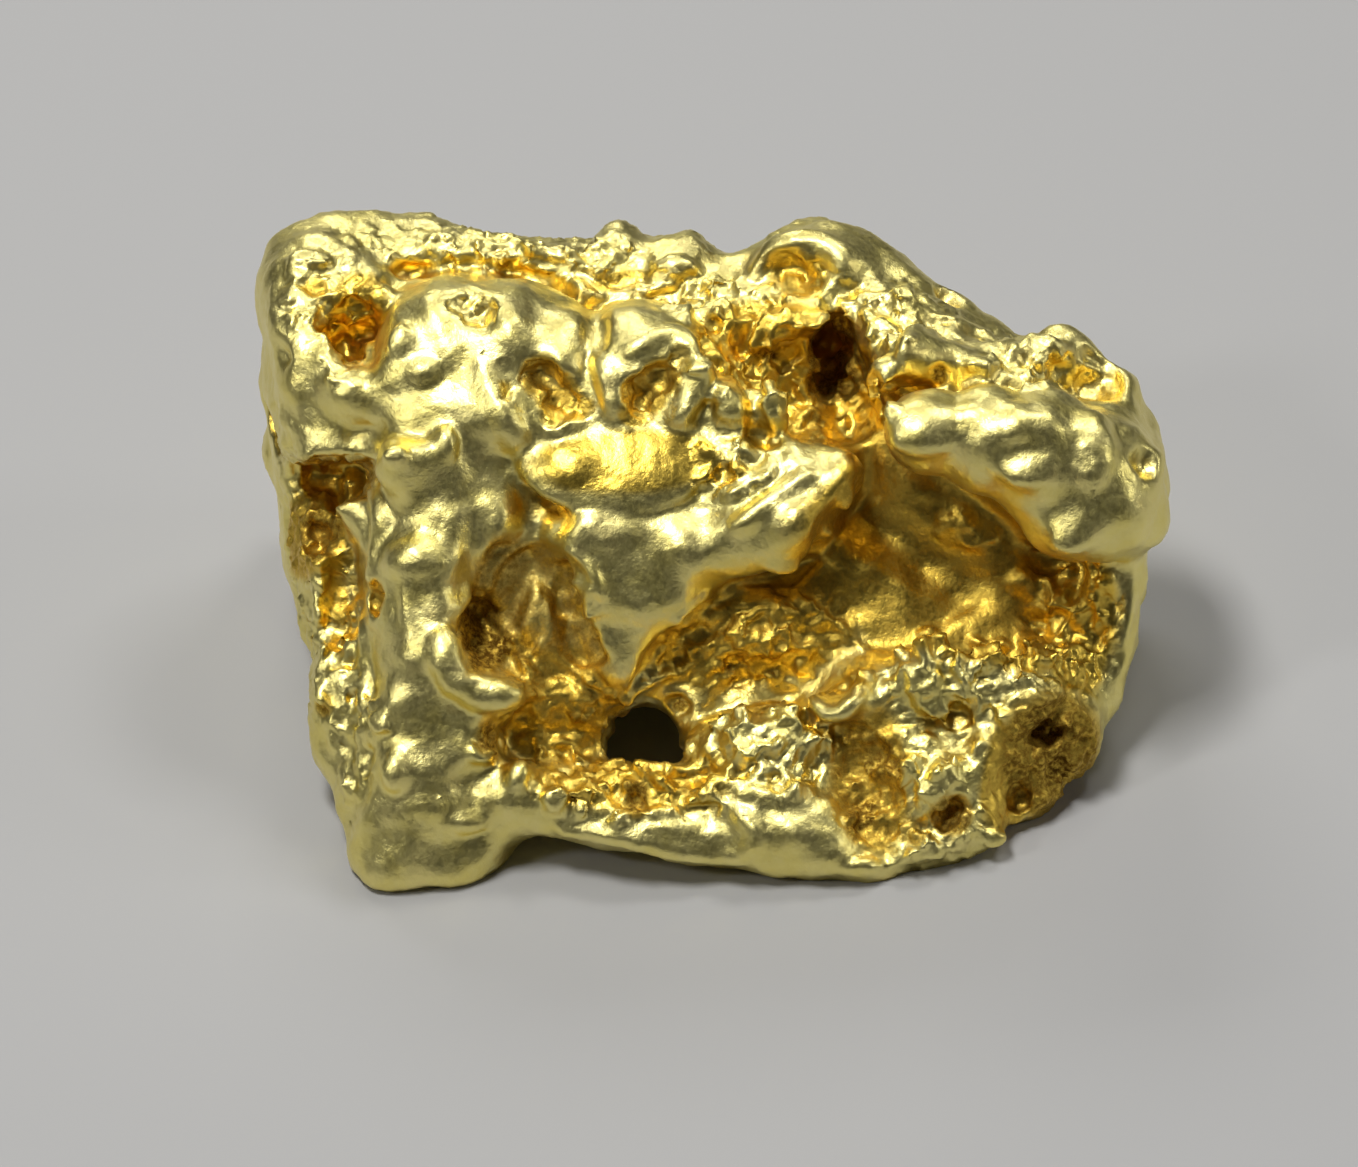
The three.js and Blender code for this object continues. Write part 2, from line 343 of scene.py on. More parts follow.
def lobe_masses():
    return [
        # broad lobe: a worn dome, nearly flat in front, that runs down into the pillar
        *lump((-3.4, 2.65, -1.05), (0.9, 0.98, 1.05), (0, 0, -5)),
        *lump((-3.95, 2.35, -0.95), (0.5, 0.9, 0.85), (0, 0, -8)),
        *lump((-2.65, 2.7, -1.05), (0.95, 0.92, 1.1)),
        *lump((-2.0, 2.45, -0.95), (0.72, 0.85, 1.05)),
        *lump((-3.55, 1.9, -0.85), (0.7, 0.8, 0.9)),
        *lump((-2.8, 1.8, -0.75), (0.85, 0.85, 0.9)),
        *lump((-1.95, 1.7, -0.7), (0.7, 0.6, 0.85)),
        *lump((-2.9, 1.0, -0.75), (0.9, 0.75, 0.68)),
        *lump((-2.3, 0.95, -0.7), (0.6, 0.6, 0.6)),
        *lump((-2.5, 0.4, -0.75), (0.75, 0.6, 0.6)),
        *lump((-3.0, 0.1, -0.7), (0.55, 0.8, 0.62)),
        # second lobe and the nubs beside it
        *lump((-0.95, 2.35, -0.8), (0.75, 0.95, 1.05)),
        *lump((-0.45, 2.4, -0.75), (0.62, 0.8, 1.0), (0, 0, 20)),
        *lump((-1.15, 1.75, -0.65), (0.7, 0.5, 0.8)),
        *lump((-0.05, 2.85, -1.1), (0.5, 0.4, 0.5)),
        *lump((-0.3, 1.7, -0.4), (0.5, 0.4, 0.55)),
        *lump((0.28, 1.8, -0.2), (0.34, 0.36, 0.42)),
        *lump((0.85, 1.86, -0.25), (0.32, 0.34, 0.42)),
        *lump((0.1, 1.3, -0.3), (0.55, 0.32, 0.4), (0, 0, 15)),
    ]


def shelf_masses():
    return [
        *lump((-1.15, 1.0, -0.45), (1.05, 0.55, 0.5)),
        *lump((-2.25, -0.6, -0.8), (0.85, 1.1, 0.52)),
        *lump((-2.0, -1.9, -0.85), (0.8, 0.6, 0.5)),
        *lump((0.6, -0.9, -0.85), (1.1, 0.6, 0.5)),
        # shelf, and the tongue that hangs from it
        *lump((-1.35, 0.2, -0.15), (0.7, 0.52, 0.6)),
        *lump((-0.5, 0.1, -0.15), (0.9, 0.55, 0.6)),
        *lump((-1.75, 0.3, -0.45), (0.5, 0.4, 0.6)),
        *lump((-1.4, -0.35, -0.3), (0.6, 0.75, 0.58)),
        *lump((-0.75, -0.45, -0.3), (0.75, 0.66, 0.58)),
        *lump((-1.25, -1.1, -0.4), (0.46, 0.66, 0.5), (0, 0, 12)),
        *lump((-1.12, -1.6, -0.55), (0.26, 0.5, 0.36), (0, 0, 8)),
        *lump((1.1, 0.35, 0.05), (0.72, 0.5, 0.6), (0, 0, 35)),
        *lump((1.7, 0.85, 0.0), (0.36, 0.42, 0.55), (0, 0, 15)),
        *lump((0.85, 1.0, -0.1), (0.5, 0.4, 0.45), (0, 0, 25)),
        *lump((0.45, 0.2, -0.1), (0.75, 0.5, 0.56), (0, 0, 20)),
        *lump((0.3, 0.85, -0.2), (0.5, 0.4, 0.46)),
        *lump((-2.95, 0.35, -0.4), (0.55, 0.75, 0.5)),
    ]


def right_masses():
    return [
        # above the knob
        *lump((2.75, 2.38, -0.4), (0.66, 0.38, 0.55), (0, 0, -8)),
        *lump((3.5, 2.28, -0.45), (0.5, 0.3, 0.52)),
        *lump((4.4, 2.3, -1.0), (0.8, 0.42, 0.7), (0, 0, -18)),
        *lump((5.15, 1.95, -1.0), (0.5, 0.5, 0.8)),
        *lump((2.3, 3.0, -1.3), (0.6, 0.5, 0.6), (0, 0, -35)),
        *lump((3.1, 2.9, -1.5), (0.8, 0.35, 0.6), (0, 0, -35)),
        # hump at the back of the top
        *lump((1.35, 3.8, -1.9), (0.7, 0.5, 0.75), (0, 0, -15)),
        *lump((2.1, 3.5, -2.0), (0.8, 0.5, 0.6), (0, 0, -35)),
        *lump((0.5, 3.15, -1.8), (0.9, 0.35, 0.5), (0, 0, -18)),
        *lump((-0.4, 3.78, -2.3), (0.56, 0.42, 0.55)),
        # wall at the right
        *lump((5.3, 0.1, -0.9), (0.35, 0.6, 0.5)),
    ]


def knob():
    """The knob, which overhangs the moulds and so goes on after they are cut."""
    whole = joined([
        *lump((2.85, 1.52, 0.28), (0.62, 0.58, 0.66)),
        *lump((3.6, 1.4, 0.28), (0.7, 0.73, 0.8)),
        *lump((4.3, 1.2, 0.22), (0.75, 0.92, 0.86)),
        *lump((4.85, 0.95, 0.1), (0.68, 0.92, 0.86)),
        *lump((4.75, 0.42, 0.12), (0.78, 0.58, 0.78)),
        # bumps, worn flat where they lean back
        *lump((2.75, 1.58, 0.8), (0.52, 0.44, 0.26), (-23, 0, 0)),
        *lump((3.36, 1.76, 0.82), (0.2, 0.2, 0.2), (-23, 0, 0)),
        *lump((3.88, 1.62, 0.92), (0.27, 0.32, 0.2), (-23, 0, 0)),
        *lump((4.24, 1.6, 0.88), (0.25, 0.34, 0.2), (-23, 0, 0)),
        *lump((4.88, 1.3, 0.76), (0.36, 0.56, 0.24), (-23, 6, 0)),
        *lump((4.0, 1.0, 0.98), (0.34, 0.26, 0.14), (-20, 0, 0)),
        *lump((4.6, 0.14, 0.72), (0.3, 0.22, 0.18), (-23, 0, 0)),
    ])
    remesh(whole, ROUGH_VOXEL)
    smooth(whole, 3)
    worn_texture(whole, "CLOUDS", 0.4, 0.08, noise_depth=2)
    return [whole]


def worn_slopes():
    """Broad smooth slopes that lie in the shelf's scoop and round the brown pocket."""
    return [
        *lump((-1.15, 1.22, -0.07), (1.35, 0.85, 0.26), (-23, 0, 3)),
        *lump((-1.9, 1.1, 0.05), (0.5, 0.4, 0.2), (-20, -15, 0)),
        *lump((-3.42, -1.32, 0.36), (0.26, 0.4, 0.22), (-23, 0, 12)),
        *lump((-3.2, -1.66, 0.38), (0.36, 0.28, 0.22), (-23, 0, -25)),
        *lump((-2.82, -1.84, 0.38), (0.44, 0.26, 0.22), (-23, 0, -2)),
    ]


def lower_masses():
    return [
        # pillar and foot
        *lump((-3.55, 0.3, -0.65), (0.85, 1.3, 0.75)),
        *lump((-3.5, -1.3, -0.5), (0.75, 1.4, 0.75)),
        *lump((-3.35, -2.4, -0.45), (0.7, 0.75, 0.75)),
        *lump((-3.75, -3.5, -0.6), (0.95, 0.8, 0.8)),
        *lump((-4.4, -3.1, -0.9), (0.5, 0.8, 0.6)),
        *lump((-4.85, -2.2, -1.3), (0.45, 1.1, 0.6), (0, 0, 8)),
        # lower lip of the brown pocket
        *lump((-2.95, -1.95, -0.2), (0.62, 0.36, 0.58), (0, 0, 8)),
        # lip
        *lump((-2.2, -3.25, -0.35), (0.6, 0.4, 0.5)),
        *lump((-0.4, -3.65, -0.1), (0.9, 0.3, 0.5), (0, 0, -8)),
        *lump((0.65, -3.3, -0.15), (0.5, 0.7, 0.65)),
        *lump((0.75, -2.45, -0.3), (0.85, 0.42, 0.6)),
        *lump((1.45, -3.9, -0.05), (0.6, 0.42, 0.66)),
        *lump((2.1, -3.95, -0.15), (0.6, 0.38, 0.6)),
        # wall below the moulds
        *lump((1.75, -2.0, -0.1), (0.45, 0.3, 0.46)),
        *lump((2.78, -1.7, -0.1), (0.26, 0.5, 0.48)),
        *lump((3.3, -1.6, -0.15), (0.24, 0.4, 0.46)),
        *lump((3.9, -1.7, -0.2), (0.5, 0.55, 0.5)),
        *lump((2.6, -2.4, -0.15), (0.85, 0.34, 0.45)),
        *lump((3.45, -2.75, -0.1), (0.36, 0.85, 0.55)),
        *lump((2.9, -3.0, -0.1), (0.4, 0.6, 0.55)),
        *lump((2.85, -3.85, -0.15), (0.6, 0.4, 0.55), (0, 0, 15)),
        *lump((3.95, -3.0, -0.55), (0.6, 0.65, 0.6), (0, 0, 30)),
        *lump((4.6, -2.1, -0.65), (0.5, 0.9, 0.6), (0, 0, 10)),
    ]


def back_masses():
    draw = random.Random(7)
    pieces = []
    for _ in range(34):
        along = draw.uniform(-4.6, 4.6)
        height = draw.uniform(0.9, 4.6)
        depth = 7.6 - 0.26 * (along + 5) - 0.1 * height
        radius = draw.uniform(0.35, 0.8)
        size = [radius * draw.uniform(0.7, 1.3), radius * 0.55, radius * draw.uniform(0.7, 1.2)]
        at = (along + NUGGET_SIZE.x / 2, depth, height)
        turn = (draw.uniform(-20, 20), draw.uniform(-20, 20), draw.uniform(-40, 40))
        pieces += lump(at, size, turn, rounds=3, place=GROUND)
    return pieces


def spots_around(skin, count, smallest, largest, depth, seed):
    """Scattered places on the sides and back, sunk by a share of their radius: middle, size, turn."""
    draw = random.Random(seed)
    spots = []
    for _ in range(count):
        at, inward = skin.level(draw.uniform(-18, 198), draw.uniform(0.5, 5.2))
        radius = draw.uniform(smallest, largest)
        size = [radius * draw.uniform(0.6, 1.3) for _ in range(3)]
        turn = [draw.uniform(-60, 60) for _ in range(3)]
        if at:
            spots.append((at + inward * depth * radius, size, turn))
    return spots


# ---------------------------------------------------------------- hollows

# Each hollow: its middle and half sizes in the broad face's frame, its turn in degrees, how far its walls
# are painted amber, a painted reflection of the gold round them, and how far they are stained brown.
ROUND_HOLLOWS = [
    # top left: the red pocket, the pit above it and the gap behind the broad lobe
    ((-4.8, 2.78, -0.95), (0.12, 0.34, 0.42), (0, 0, 30), 0.9, 1.0),
    ((-4.64, 2.5, -0.9), (0.12, 0.1, 0.33), (0, 0, 0), 0.9, 1.0),
    ((-4.6, 3.15, -1.05), (0.2, 0.24, 0.26), (0, 0, 0), 0.9, 0.0),
    ((-5.12, 3.42, -1.2), (0.16, 0.12, 0.3), (0, 0, 0), 0.8, 0.3),
    ((-3.75, 3.98, -1.6), (0.2, 0.12, 0.3), (0, 0, 0), 0.6, 0.7),
    # pits in the lobes: each is a few shallow hollows that run together
    ((-3.0, 3.22, -0.2), (0.2, 0.16, 0.26), (0, 0, 30), 0.9, 0.2),
    ((-3.2, 3.3, -0.25), (0.16, 0.1, 0.2), (0, 0, 0), 0.6, 0.0),
    ((-2.92, 3.06, -0.1), (0.1, 0.14, 0.24), (0, 0, 0), 1.0, 0.3),
    ((-2.18, 2.24, 0.1), (0.24, 0.26, 0.34), (0, 0, 30), 1.0, 0.6),
    ((-1.95, 2.0, 0.1), (0.26, 0.3, 0.34), (0, 0, 42), 1.0, 0.4),
    ((-1.72, 1.86, 0.12), (0.2, 0.16, 0.26), (0, 0, 0), 1.0, 0.2),
    ((-2.02, 1.74, 0.14), (0.16, 0.14, 0.24), (0, 0, 0), 0.8, 0.1),
    ((-2.62, 2.1, 0.16), (0.09, 0.13, 0.16), (0, 0, 0), 0.8, 0.2),
    ((-0.84, 2.0, 0.2), (0.26, 0.26, 0.36), (0, 0, -20), 1.0, 0.5),
    ((-0.62, 2.22, 0.22), (0.22, 0.24, 0.36), (0, 0, 0), 0.8, 0.3),
    ((-0.95, 1.74, 0.16), (0.2, 0.14, 0.26), (0, 0, 0), 0.9, 0.2),
    ((-0.4, 2.5, 0.2), (0.13, 0.16, 0.26), (0, 0, 0), 0.5, 0.1),
    # recess between the lobes and the hole in it
    ((0.45, 2.55, -0.3), (0.62, 0.36, 0.55), (0, 0, -18), 1.0, 0.1),
    ((1.1, 2.2, -0.5), (0.42, 0.72, 0.6), (0, 0, 0), 1.0, 0.2),
    ((1.58, 2.48, -1.0), (0.28, 0.56, 0.85), (0, 0, -10), 0.9, 1.0),
    ((1.75, 2.2, -0.8), (0.22, 0.3, 0.7), (0, 0, -30), 0.9, 0.9),
    ((1.45, 1.75, -0.5), (0.26, 0.3, 0.5), (0, 0, 0), 1.0, 0.7),
    ((1.95, 1.8, -0.35), (0.4, 0.35, 0.5), (0, 0, 0), 1.0, 0.1),
    ((0.76, 2.52, -0.9), (0.18, 0.06, 0.3), (0, 0, 0), 1.0, 1.0),
    ((2.97, 2.24, 0.2), (0.12, 0.15, 0.3), (0, 0, 0), 0.8, 1.0),
    # cavity in the hump and the pocket left of it
    ((1.05, 3.64, -0.95), (0.46, 0.26, 0.5), (0, 0, -8), 1.0, 0.3),
    ((-1.15, 3.55, -1.4), (0.45, 0.15, 0.35), (0, 0, 12), 1.0, 0.2),
    # right of the shelf
    ((0.1, 0.98, 0.45), (0.4, 0.14, 0.36), (0, 0, 15), 0.8, 0.0),
    # brown pocket by the pillar
    ((-2.88, -1.2, 0.1), (0.36, 0.4, 0.9), (30, 0, 10), 0.9, 1.0),
    ((-2.5, -1.4, 0.0), (0.3, 0.26, 0.6), (20, 0, 0), 0.8, 0.8),
    # rough hollow below the shelf
    ((0.4, -1.2, 0.1), (0.95, 0.42, 0.55), (0, 0, 20), 0.8, 0.25),
    ((1.1, -1.3, 0.1), (0.6, 0.42, 0.55), (0, 0, 0), 0.8, 0.15),
    ((1.62, -1.58, 0.3), (0.34, 0.4, 0.55), (0, 0, 0), 0.9, 0.1),
    # orange cavity, and the dark ground that falls away below it to the corner
    ((4.72, -1.0, 0.1), (0.34, 0.72, 0.75), (0, 0, -5), 1.0, 0.2),
    ((4.55, -2.55, 1.0), (0.62, 0.75, 1.15), (0, 0, 35), 0.8, 0.9),
    ((4.1, -3.0, 0.95), (0.4, 0.62, 1.05), (0, 0, -25), 1.0, 0.7),
    ((4.85, -3.5, 0.6), (0.8, 0.5, 1.5), (0, 0, 38), 0.8, 0.8),
    ((4.35, -2.35, -0.1), (0.2, 0.16, 0.26), (0, 0, 0), 0.6, 1.0),
    ((4.55, -2.85, -0.2), (0.16, 0.22, 0.26), (0, 0, 40), 0.8, 1.0),
    ((4.0, -3.2, -0.05), (0.14, 0.18, 0.24), (0, 0, 0), 1.0, 0.8),
    # brown pockets at the lower right
    ((2.1, -2.72, 0.4), (0.34, 0.34, 0.5), (0, 0, 25), 0.9, 0.8),
    ((1.98, -3.3, 0.42), (0.22, 0.4, 0.44), (0, 0, -14), 0.8, 0.9),
    ((2.25, -3.1, 0.4), (0.2, 0.3, 0.4), (0, 0, 15), 0.8, 0.6),
    ((3.1, -3.42, 0.5), (0.26, 0.22, 0.4), (0, 0, 25), 0.6, 0.8),
    ((2.55, -3.6, 0.55), (0.22, 0.18, 0.35), (0, 0, 0), 0.6, 0.5),
    # pockets at the lower left
    ((-2.72, -2.42, 0.35), (0.28, 0.24, 0.4), (0, 0, 0), 0.7, 0.9),
    ((-1.6, -2.2, 0.0), (0.34, 0.24, 0.5), (0, 0, 0), 0.6, 0.7),
    ((-1.5, -2.75, 0.1), (0.45, 0.2, 0.45), (0, 0, 0), 0.5, 0.3),
    ((-0.95, -3.15, 0.3), (0.16, 0.26, 0.3), (0, 0, 0), 0.8, 0.9),
    ((-0.3, -2.95, 0.3), (0.14, 0.2, 0.3), (0, 0, 0), 0.8, 0.7),
    # hole through the lip, and the slot beside it
    ((-1.12, -2.18, 0.0), (0.14, 0.13, 2.5), (0, 0, -20), 0.7, 0.8),
    ((-0.92, -2.32, 0.0), (0.17, 0.24, 2.5), (0, 0, 35), 0.7, 0.8),
    ((-0.66, -2.55, 0.0), (0.26, 0.13, 2.5), (0, 0, -32), 0.7, 0.8),
    ((-0.42, -2.66, 0.0), (0.14, 0.1, 2.5), (0, 0, -20), 0.7, 0.8),
    ((-0.4, -2.0, -0.4), (0.18, 0.12, 0.4), (0, 0, -20), 0.8, 0.9),
    # left face
    ((-5.0, 0.88, -0.9), (0.7, 0.3, 0.75), (0, 0, 4), 0.3, 0.6),
    ((-4.6, 1.0, -0.7), (0.3, 0.2, 0.4), (0, 0, 0), 0.3, 0.5),
    ((-5.2, 0.3, -1.1), (0.4, 0.36, 0.8), (0, 0, 0), 0.9, 0.8),
    ((-4.85, -0.55, -0.9), (0.18, 0.5, 0.55), (0, 0, 8), 1.0, 0.4),
    ((-4.3, -0.6, -0.25), (0.12, 0.2, 0.3), (0, 0, 0), 1.0, 0.3),
    ((-4.95, -2.0, -1.2), (0.16, 0.2, 0.5), (0, 0, 0), 0.9, 0.7),
    ((-5.3, 0.95, -1.4), (0.22, 0.14, 0.4), (0, 0, -20), 0.5, 0.6),
]

# Smooth dishes, given in the same way.
SMOOTH_HOLLOWS = [
    # slope under the brown pocket
    ((-2.9, -1.1, 0.6), (0.6, 0.8, 0.6), (0, 0, -25), 0.1, 0.1),
    # under the lip of the ledge at the lower right, and beside the column there
    ((2.3, -2.05, 0.75), (0.5, 0.14, 0.5), (0, 0, 0), 0.2, 0.1),
]

# Flat-sided hollows that quartz crystals left, given in the same way.
CRYSTAL_HOLLOWS = [
    # moulds left of the tongue
    ((-2.5, -0.6, 0.12), (0.36, 0.55, 0.6), (12, 26, -16), 0.4, 0.6),
    ((-1.95, -0.95, 0.12), (0.3, 0.72, 0.6), (6, -28, 18), 0.1, 0.6),
    # broad moulds under the knob
    ((2.7, 0.42, 0.3), (0.95, 0.75, 0.85), (26, -14, -38), 1.0, 0.4),
    ((2.7, -0.62, 0.22), (1.5, 0.55, 0.8), (-10, 6, -12), 1.0, 0.4),
    ((3.75, -0.35, 0.2), (0.9, 0.5, 0.75), (10, 14, -22), 0.9, 0.4),
]

# Ground with no hollow of its own that is painted amber, a painted reflection of the gold round it, and
# stained, given in the same way.
TINTED_GROUND = [
    ((-1.05, 1.12, 0.05), (1.05, 0.36, 0.6), (0, 0, 3), 0.9, 0.0),
    ((2.9, -0.1, -0.6), (1.7, 1.1, 0.7), (0, 0, -20), 1.0, 0.3),
    ((2.0, 0.9, -0.6), (0.5, 0.7, 0.6), (0, 0, 0), 1.0, 0.3),
    ((0.6, -1.0, -0.5), (1.3, 0.7, 0.5), (0, 0, 15), 0.8, 0.35),
    ((-2.25, -0.85, -0.4), (0.75, 0.95, 0.4), (0, 0, 0), 0.4, 0.5),
    ((-2.85, -1.22, -0.1), (0.32, 0.3, 0.7), (0, 0, 0), 0.9, 1.0),
    ((4.35, -2.6, -0.2), (0.65, 0.8, 0.8), (0, 0, 15), 0.8, 0.8),
    ((3.85, -2.9, 0.0), (0.35, 0.7, 0.6), (0, 0, -10), 1.0, 0.3),
    ((-1.9, -2.0, -0.5), (0.8, 0.7, 0.4), (0, 0, 0), 0.8, 0.4),
    ((0.9, 2.3, -1.0), (1.1, 0.8, 0.8), (0, 0, -10), 1.0, 0.1),
    ((-4.55, 3.1, -1.2), (0.35, 0.5, 0.5), (0, 0, 0), 0.8, 0.0),
    ((-5.2, 0.2, -1.8), (0.5, 0.5, 0.9), (0, 0, 0), 0.9, 0.4),
    ((4.7, -0.9, -0.4), (0.5, 0.9, 0.5), (0, 0, 0), 1.0, 0.1),
    ((2.1, -3.1, 0.0), (0.5, 1.0, 0.4), (0, 0, 0), 0.8, 0.6),
    ((-0.8, -3.0, 0.0), (1.4, 0.4, 0.4), (0, 0, 0), 0.7, 0.1),
]

# Places worn smooth and bright, in the midst of broken ground: middle, half sizes, turn and how worn.
WORN_RIMS = [
    # knob
    ((3.1, 1.5, 0.8), (0.9, 0.6, 0.6), (0, 0, -10), 1.0),
    ((4.2, 1.1, 0.7), (1.1, 0.85, 0.7), (0, 0, -20), 1.0),
    # rim of the brown pocket, tongue, shelf's end and lower ledge
    ((-3.36, -1.4, 0.2), (0.2, 0.42, 0.6), (0, 0, 15), 1.0),
    ((-2.95, -1.84, 0.2), (0.5, 0.22, 0.6), (0, 0, -8), 1.0),
    ((-1.2, -1.1, 0.1), (0.16, 0.3, 0.5), (0, 0, 0), 0.8),
    ((0.6, 0.75, 0.4), (0.7, 0.2, 0.5), (0, 0, 35), 0.8),
    ((1.6, -2.0, 0.3), (0.36, 0.2, 0.4), (0, 0, 20), 0.8),
]

# Ground with a broken, crinkled skin: its middle, half sizes and turn, and how rough it is.
ROUGH_GROUND = [
    ((-5.1, 3.3, -1.5), (0.6, 0.7, 0.8), (0, 0, 0), 0.6),
    ((-5.2, -0.3, -1.8), (0.6, 2.2, 1.1), (0, 0, 5), 0.7),
    ((-4.45, -2.6, -0.8), (0.4, 1.0, 0.6), (0, 0, 0), 0.6),
    ((-2.6, 3.95, -2.0), (2.0, 0.3, 0.8), (0, 0, -7), 0.8),
    ((0.3, 3.2, -1.6), (1.3, 0.3, 0.7), (0, 0, -15), 0.8),
    ((2.4, 2.95, -1.0), (0.8, 0.55, 0.7), (0, 0, -25), 0.7),
    ((4.3, 2.35, -1.0), (0.9, 0.4, 0.7), (0, 0, -20), 0.8),
    ((1.2, 2.1, -0.6), (1.0, 0.7, 0.7), (0, 0, 0), 0.7),
    ((0.3, 1.1, 0.0), (0.6, 0.5, 0.5), (0, 0, 0), 0.7),
    ((0.5, -1.2, -0.5), (1.2, 0.5, 0.6), (0, 0, 15), 0.8),
    ((3.8, -1.6, 0.0), (1.0, 0.5, 0.6), (0, 0, 0), 0.9),
    ((2.8, -1.75, 0.0), (0.6, 0.35, 0.6), (0, 0, 0), 0.7),
    ((4.7, -1.0, -0.5), (0.5, 0.9, 0.7), (0, 0, 0), 0.8),
    ((0.7, -2.5, 0.1), (1.0, 0.5, 0.5), (0, 0, 0), 0.8),
    ((-1.0, -3.05, 0.0), (1.3, 0.45, 0.5), (0, 0, 0), 0.9),
    ((-1.9, -2.2, -0.4), (0.8, 0.6, 0.6), (0, 0, 0), 0.8),
    ((2.7, -3.1, 0.2), (1.0, 0.9, 0.6), (0, 0, 0), 0.7),
    ((4.3, -2.7, -0.3), (0.7, 0.8, 0.6), (0, 0, 20), 0.6),
    ((0.0, 4.0, -5.0), (6.0, 4.5, 2.6), (0, 0, 0), 0.45),
]


def round_cutters(skin):
    """The round hollows' shapes, made ragged, and the smooth dishes."""
    dishes = []
    for at, size, turn, *_ in SMOOTH_HOLLOWS:
        dishes += lump(at, size, turn)
    cutters = []
    pits = spots_around(skin, 20, 0.15, 0.34, 0.0, 41) + spots_around(skin, 7, 0.35, 0.55, 0.1, 42)
    for at, size, turn, *_ in ROUND_HOLLOWS + pits:
        cutters += lump(at, size, turn)
    cutter = joined(cutters)
    remesh(cutter, FINE_VOXEL)
    worn_texture(cutter, "CLOUDS", 0.4, 0.24, noise_depth=1)
    worn_texture(cutter, "CLOUDS", 0.15, 0.12, noise_depth=2)
    return [cutter, *dishes]


def crystal_cutters():
    cutters = []
    for at, size, turn, *_ in CRYSTAL_HOLLOWS:
        cutters += crystal(at, size, turn)
    return cutters


# ---------------------------------------------------------------- worn creases and swellings

# Each stroke: the points that it passes through on the broad face, its radius, and its height.
BROAD_STROKES = [
    # creases round the broad lobe
    ([(-4.1, 3.6), (-4.4, 3.1), (-4.5, 2.5)], 0.24, -0.2),
    ([(-4.1, 3.65), (-3.5, 3.85), (-2.8, 3.82), (-2.1, 3.55), (-1.6, 3.3)], 0.26, -0.36),
    ([(-1.35, 3.35), (-0.8, 3.38), (-0.2, 3.2), (0.2, 2.8)], 0.2, -0.25),
    ([(-4.6, 1.5), (-4.1, 1.55), (-3.7, 1.5)], 0.2, -0.12),
    ([(-1.5, 3.3), (-1.45, 2.8), (-1.5, 2.4)], 0.24, -0.14),
    # crease under the lobes, above the shelf
    ([(-2.2, 1.1), (-1.9, 1.35), (-1.2, 1.52), (-0.4, 1.45)], 0.16, -0.14),
    ([(-2.1, 0.9), (-2.0, 0.6), (-1.85, 0.35)], 0.16, -0.1),
    # crease between the second lobe and the nubs
    ([(0.1, 2.5), (0.0, 2.1), (-0.15, 1.6)], 0.2, -0.16),
    ([(0.55, 2.0), (0.58, 1.6), (0.75, 1.4)], 0.16, -0.14),
    # crease over the knob
    ([(2.4, 2.05), (3.0, 2.0), (3.6, 2.08), (4.3, 2.05), (5.0, 1.9)], 0.24, -0.2),
    # crease under the knob
    ([(2.5, 1.15), (3.1, 0.85), (3.7, 0.35), (4.4, -0.15), (5.2, -0.2)], 0.24, -0.12),
    # right of the shelf
    ([(2.05, 1.2), (2.0, 0.5), (1.4, -0.2), (0.9, -0.45)], 0.2, -0.14),
    ([(1.3, -0.2), (0.5, -0.45), (-0.1, -0.75), (-0.7, -1.3), (-1.0, -1.9)], 0.16, -0.16),
    # pillar: a long worn hollow beside it, and its brow
    ([(-4.4, 0.9), (-4.35, 0.2)], 0.3, -0.1),
    ([(-3.0, 0.4), (-3.0, 0.0), (-3.2, -0.5)], 0.28, -0.08),
    ([(-2.9, -2.0), (-2.6, -2.1)], 0.2, -0.1),
    # lower wall
    ([(1.2, -2.2), (1.75, -2.35), (2.5, -2.2), (3.4, -2.1)], 0.16, -0.1),
    ([(0.0, -2.05), (0.7, -1.9), (1.2, -1.9)], 0.18, -0.12),
    ([(0.0, -2.85), (0.6, -2.9), (1.3, -2.85)], 0.16, -0.12),
    ([(3.3, -2.2), (3.25, -2.8)], 0.14, -0.12),
    # creases of the folded top
    ([(-3.9, 4.05), (-3.0, 4.02), (-2.1, 3.8), (-1.4, 3.5)], 0.14, -0.12),
    ([(-0.8, 3.45), (-0.1, 3.3), (0.6, 3.05)], 0.14, -0.12),
    ([(1.8, 3.4), (2.4, 3.1), (3.1, 2.8), (3.8, 2.5)], 0.16, -0.12),
]


# ---------------------------------------------------------------- rims, ribs and grains


